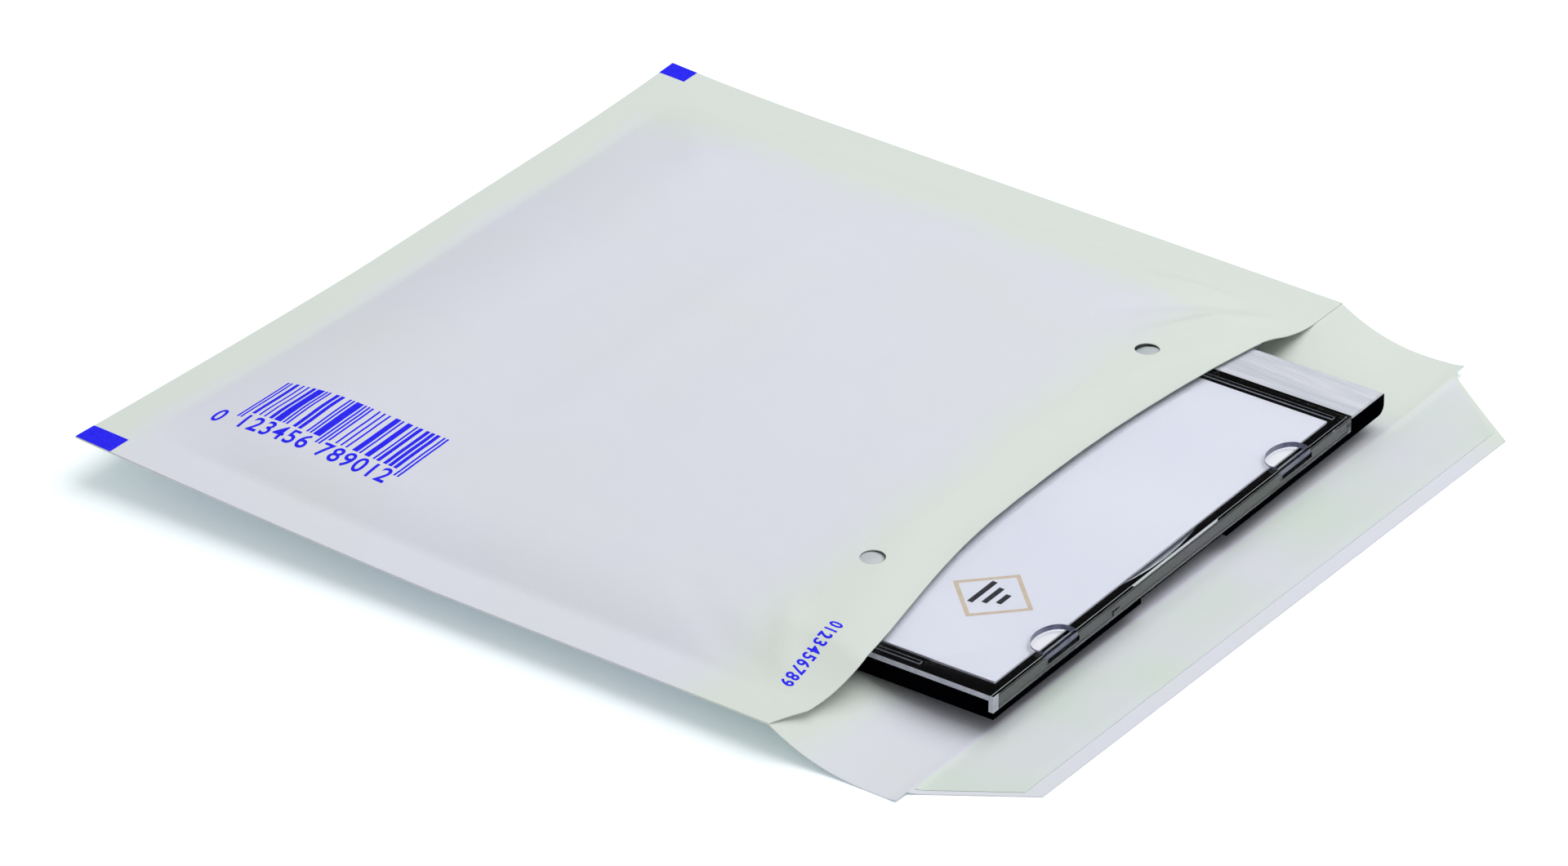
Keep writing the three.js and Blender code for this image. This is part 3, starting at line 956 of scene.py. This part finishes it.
ink = {
    "proud": 0.04,  # over the paper
    "sunk": 0.02,
    "step": 1.2,  # a bar or mark is divided this often, so that it follows the wall
    "nearMark": (5.8, 9.0),  # at the closed end's corners: across and along
    "farMark": (4.8, 6.6),
    "barFrom": -73.6,  # along X
    "barTo": -59.2,
    "guardReach": 2.2,  # that the guard bars are longer
    "codeStart": 90.0,  # along Y, where the pattern begins
    "module": 0.435,
    "digitSize": 6.6,
    "digitWidth": 0.8,  # narrow digits
    "digitStep": 0.9,  # a digit is cut this often, for the same reason
    "digitBold": 0.1,
    "digitBase": -79.0,  # along X, where the digits stand
    "leadGap": 3.6,  # from the first digit to the pattern
    "code": "0123456789012",
    "rowDigits": "0123456789",
    "rowSize": 4.0,
    "rowPlace": (-69.0, -52.6),  # of the row's first digit
    "rowPitch": 1.95,
    "rowSlant": 0.12,  # that each digit stands nearer the mouth than the one before
}

# Widths of spaces and bars in turn, in modules: of the left half's digits, and of the guards
digitWidths = ("3211", "2221", "2122", "1411", "1132", "1231", "1114", "1312", "1213", "3112")
endGuard = "111"
middleGuard = "11111"
digitModules = 7
halfDigits = 6


def surfacePatch(x0, x1, y0, y1):
    # a thin closed sheet that follows the front wall
    x = steps(x0, x1, ink["step"])[None, :]
    y = steps(y0, y1, ink["step"])[:, None]
    height = frontHeight(x, y)
    return closedSheet(grid(x, y, height - ink["sunk"]), grid(x, y, height + ink["proud"]))


def barSpans():
    # guard bars at both ends and in the middle, and two bars for each digit: start, width, guard
    spans, cursor = [], 0
    digits = ink["code"][1:]

    def add(widths, firstIsBar, guard=False):
        nonlocal cursor
        isBar = firstIsBar
        for width in map(int, widths):
            if isBar:
                spans.append((cursor, width, guard))
            cursor += width
            isBar = not isBar

    add(endGuard, True, True)
    for digit in digits[:halfDigits]:
        add(digitWidths[int(digit)], False)
    add(middleGuard, False, True)
    for digit in digits[halfDigits:]:
        add(digitWidths[int(digit)], True)
    add(endGuard, True, True)
    return spans


def makeBars():
    # a patch for each bar
    parts = []
    for start, width, guard in barSpans():
        high = ink["codeStart"] - start * ink["module"]
        low = high - width * ink["module"]
        reach = ink["barFrom"] - (ink["guardReach"] if guard else 0)
        parts.append(surfacePatch(reach, ink["barTo"], low, high))
    return parts


def makeMarks():
    # a patch in each corner of the closed end
    nearWide, nearLong = ink["nearMark"]
    farWide, farLong = ink["farMark"]
    return [
        surfacePatch(-halfWidth, -halfWidth + nearWide, closedEnd - nearLong, closedEnd),
        surfacePatch(halfWidth - farWide, halfWidth, closedEnd - farLong, closedEnd),
    ]


def digitMesh(digit, size, origin, right, up):
    # one digit of the plain built-in font: its flat points laid along right and up, then on to the wall
    curve = bpy.data.curves.new("digit", "FONT")
    curve.body = digit
    curve.size = size * mm
    curve.align_x = "CENTER"
    curve.offset = ink["digitBold"] * mm
    curve.extrude = (ink["proud"] + ink["sunk"]) / 2 * mm
    holder = addObject("digit", curve)
    mesh = evaluatedMesh(holder)
    shape = bmesh.new()
    shape.from_mesh(mesh)
    bmesh.ops.remove_doubles(shape, verts=shape.verts, dist=weld)
    for direction in (Vector((1, 0, 0)), Vector((0, 1, 0))):
        for offset in steps(-size, size, ink["digitStep"]):
            split(shape, direction * float(offset) * mm, direction)
    shape.to_mesh(mesh)
    shape.free()
    flat = np.empty(len(mesh.vertices) * 3)
    mesh.vertices.foreach_get("co", flat)
    flat = flat.reshape(-1, 3) / mm * (ink["digitWidth"], 1, 1)
    x = origin[0] + flat[:, 0] * right[0] + flat[:, 1] * up[0]
    y = origin[1] + flat[:, 0] * right[1] + flat[:, 1] * up[1]
    z = frontHeight(x, y) + (ink["proud"] - ink["sunk"]) / 2 + flat[:, 2]
    placed = np.stack([x, y, z], axis=-1) * mm
    mesh.vertices.foreach_set("co", placed.ravel())
    bpy.data.objects.remove(holder)
    return mesh


def makeDigits():
    # one digit before the pattern and one in the middle of each digit's bars, which read along -Y,
    # and the row by the mouth, which reads along -X
    leftStart = len(endGuard)
    rightStart = leftStart + halfDigits * digitModules + len(middleGuard)
    places = [ink["codeStart"] + ink["leadGap"]]
    for start in (leftStart, rightStart):
        for n in range(halfDigits):
            places.append(ink["codeStart"] - (start + digitModules * (n + 0.5)) * ink["module"])
    meshes = []
    for digit, y in zip(ink["code"], places):
        meshes.append(digitMesh(digit, ink["digitSize"], (ink["digitBase"], y), (0, -1), (1, 0)))
    for number, digit in enumerate(ink["rowDigits"]):
        along, slant = number * ink["rowPitch"], number * ink["rowSlant"]
        origin = (ink["rowPlace"][0] - along, ink["rowPlace"][1] - slant)
        meshes.append(digitMesh(digit, ink["rowSize"], origin, (-1, 0), (0, -1)))
    return meshes


def makePrint():
    # bars, marks and digits as one piece
    printed = pieceFrom("bluePrint", *merged(makeBars() + makeMarks()), inkBlue)
    shape = bmesh.new()
    shape.from_mesh(printed.data)
    for mesh in makeDigits():
        shape.from_mesh(mesh)
        bpy.data.meshes.remove(mesh)
    bmesh.ops.remove_doubles(shape, verts=shape.verts, dist=weld)
    shape.to_mesh(printed.data)
    shape.free()
    printed.data.polygons.foreach_set("material_index", [0] * len(printed.data.polygons))
    finish(printed, "white_paper")


makePrint()
print("stage: print")


# The disc case: the CAD solids with their moulded edges rounded

# Radius of the rounded edges
caseEdges = {"case_base": 0.16, "case_lid": 0.16, "spine_strip": 0.06, "booklet": 0.05, "disc": 0.15}

moulded = {
    "weld": 2e-6,  # metres
    "flatWithin": 0.6,  # degrees between faces that are one flat face
    "sharpFrom": 32,
    "level": 0.99,  # the upward part of a level face's normal is more than that
    "segments": 2,
}

# The booklet lies loose under the lid, this far from where the solids have it
bookletSlide = {"across": 1.0, "into": 1.1}


def polygonValues(mesh, name):
    # a vector of each polygon, such as its normal
    values = np.empty(len(mesh.polygons) * 3)
    mesh.polygons.foreach_get(name, values)
    return values.reshape(-1, 3)


def roundedCopy(node, name, material, slot):
    # the node's own mesh, merged, its flat faces joined, its level faces flat, and a narrow live bevel
    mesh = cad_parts[node].data.copy()
    mesh.name = name
    shape = bmesh.new()
    shape.from_mesh(mesh)
    bmesh.ops.remove_doubles(shape, verts=shape.verts, dist=moulded["weld"])
    bmesh.ops.dissolve_limit(
        shape, angle_limit=math.radians(moulded["flatWithin"]), verts=shape.verts, edges=shape.edges,
    )
    shape.to_mesh(mesh)
    shape.free()
    mesh.materials.clear()
    mesh.materials.append(material)
    level = np.abs(polygonValues(mesh, "normal")[:, 2]) > moulded["level"]
    mesh.polygons.foreach_set("use_smooth", ~level)
    mesh.set_sharp_from_angle(angle=math.radians(moulded["sharpFrom"]))
    piece = addObject(name, mesh)
    edge = piece.modifiers.new("mouldedEdges", "BEVEL")
    edge.width = caseEdges[node] * mm
    edge.segments = moulded["segments"]
    edge.limit_method = "ANGLE"
    edge.angle_limit = math.radians(moulded["sharpFrom"])
    edge.use_clamp_overlap = True
    edge.harden_normals = True
    return finish(piece, slot, node)


lidWalls = {
    "plate": 1.2,  # thickness of the lid's plate
    "plateShare": 0.25,  # a wall whose middle is higher in the plate than that cuts through it
    "ribHeight": 0.3,  # under the plate
    "upright": 0.3,  # a face whose normal leans up less than that is a wall
    "openingSide": 0.5,  # walls within that of the opening edge
    "corner": 1.8,  # and the end walls within that of it
    "endWalls": 0.4,  # which lie within that of the lid's two ends
    "cutFrom": 0.7,  # the half-moons' walls are that far within the ends or more
}


def cutAcross(mesh, distance):
    # splits faces where they cross a distance across the case
    shape = bmesh.new()
    shape.from_mesh(mesh)
    place = Vector((*(bookletCorner + distance * acrossCase), 0)) * mm
    split(shape, place, Vector((*acrossCase, 0)))
    shape.to_mesh(mesh)
    shape.free()


def paintGlowAndShade(lid):
    # walls by their place: the opening side, the end walls' corners by it and the ribs get the painted
    # glow, and the half-moons' walls get the painted shade
    mesh = lid.data
    lidPoints = nodePoints("case_lid")[:, :2] - bookletCorner
    openingEdge = (lidPoints @ acrossCase).min()
    ends = (lidPoints @ intoCase).min(), (lidPoints @ intoCase).max()
    cutAcross(mesh, openingEdge + lidWalls["corner"])
    normals, centres = polygonValues(mesh, "normal"), polygonValues(mesh, "center") / mm
    across = (centres[:, :2] - bookletCorner) @ acrossCase
    into = (centres[:, :2] - bookletCorner) @ intoCase
    nearEnd = np.minimum(into - ends[0], ends[1] - into)
    underside = caseTop - lidWalls["plate"]
    wall = np.abs(normals[:, 2]) < lidWalls["upright"]
    side = wall & (across < openingEdge + lidWalls["openingSide"])
    corner = wall & (nearEnd < lidWalls["endWalls"]) & (across < openingEdge + lidWalls["corner"])
    ribLevel = (centres[:, 2] < underside) & (centres[:, 2] > underside - lidWalls["ribHeight"])
    rib = wall & ribLevel & (nearEnd > lidWalls["cutFrom"])
    inPlate = wall & (centres[:, 2] > underside + lidWalls["plateShare"] * lidWalls["plate"])
    overBooklet = (across > 0) & (across < np.ptp(bookletPoints[:, 0]))
    moon = inPlate & overBooklet & (nearEnd > lidWalls["cutFrom"])
    # material 1 is the painted glow of light inside the plate, 2 the painted blue-grey shade of the
    # half-moons' walls
    kinds = np.where(side | corner | rib, 1, np.where(moon, 2, 0)).astype(np.int32)
    mesh.materials.append(paintedGlowPolystyrene())
    mesh.materials.append(paintedShadePolystyrene())
    mesh.polygons.foreach_set("material_index", kinds)
    # counts of faces with the painted glow and with the painted shade
    print("lid walls: painted glow", int((kinds == 1).sum()), "cut", int((kinds == 2).sum()))


roundedCopy("case_base", "caseBase", plasticBlack, "black_plastic")
paintGlowAndShade(roundedCopy("case_lid", "caseLid", plasticClear, "clear_plastic"))
roundedCopy("spine_strip", "spineStrip", ribbedPolystyrene(), "ribbed_plastic")
booklet = roundedCopy("booklet", "bookletCover", coatedBookletPaper(), "coated_paper")
slide = bookletSlide["across"] * acrossCase + bookletSlide["into"] * intoCase
booklet.data.transform(Matrix.Translation(Vector((*slide, 0)) * mm))
roundedCopy("disc", "silverDisc", metallisedDisc(), "disc_plastic")
print("stage: disc case")


# A plain motif printed on the booklet: a diamond with three bars

motif = {
    "centre": (27.0, 19.0),  # from the booklet's near corner, across and into the case
    "halfDiagonal": 9.5,
    "line": 0.9,
    "bars": (9.0, 6.4, 3.8),
    "barHeight": 1.2,
    "barPitch": 2.5,
    "sunk": 0.02,
    "proud": 0.03,
}


def onBooklet(outline, height):
    # places across and into the case, from the motif's centre, at a height over the booklet
    outline = np.asarray(outline) + motif["centre"]
    flat = bookletCorner + outline[..., :1] * acrossCase + outline[..., 1:] * intoCase
    return np.concatenate([flat, np.full(flat.shape[:-1] + (1,), bookletTop + height)], axis=-1)


def flatRing(outer, inner):
    # a thin closed band between two outlines of as many corners
    count = len(outer)
    points = np.concatenate([
        onBooklet(outer, -motif["sunk"]), onBooklet(inner, -motif["sunk"]),
        onBooklet(outer, motif["proud"]), onBooklet(inner, motif["proud"]),
    ])
    here = np.arange(count)
    ahead = (here + 1) % count
    faces = np.concatenate([
        np.stack([here, here + count, ahead + count, ahead], axis=-1),
        np.stack([here, ahead, ahead + 2 * count, here + 2 * count], axis=-1),
        np.stack([here + 2 * count, ahead + 2 * count, ahead + 3 * count, here + 3 * count], axis=-1),
        np.stack([here + count, here + 3 * count, ahead + 3 * count, ahead + count], axis=-1),
    ])
    return points, faces


def flatBar(width, height, lift):
    # a thin closed bar, centred across
    corners = np.array([
        [[-width / 2, lift - height / 2], [width / 2, lift - height / 2]],
        [[-width / 2, lift + height / 2], [width / 2, lift + height / 2]],
    ])
    return closedSheet(onBooklet(corners, -motif["sunk"]), onBooklet(corners, motif["proud"]))


def bookletInk(name, low, high):
    # offset print on coated paper: thin, smooth, with the sheet's own silk sheen
    material, tree = emptyMaterial(name)
    tone = between(tree, patches(tree, 1.2, 2.0), low, high)
    surfaceShader(tree, None, 0, {"Base Color": tone}, {"Roughness": 0.4, "IOR": 1.5})
    return material


def makeMotif():
    # the diamond's line, measured square to it, and the bars one below the other
    turnedSquare = np.array([(0, -1), (1, 0), (0, 1), (-1, 0)])
    inner = motif["halfDiagonal"] - motif["line"] * math.sqrt(2)
    ring = flatRing(turnedSquare * motif["halfDiagonal"], turnedSquare * inner)
    diamond = pieceFrom("bookletDiamond", *ring, bookletInk("tanBookletInk", "#D9C6A8", "#E2D2B8"))
    finish(diamond, "coated_paper")
    bars = [
        flatBar(width, motif["barHeight"], (1 - number) * motif["barPitch"])
        for number, width in enumerate(motif["bars"])
    ]
    black = bookletInk("blackBookletInk", "#101016", "#1A1A22")
    finish(pieceFrom("bookletBars", *merged(bars), black), "coated_paper")


makeMotif()
print("stage: booklet motif")
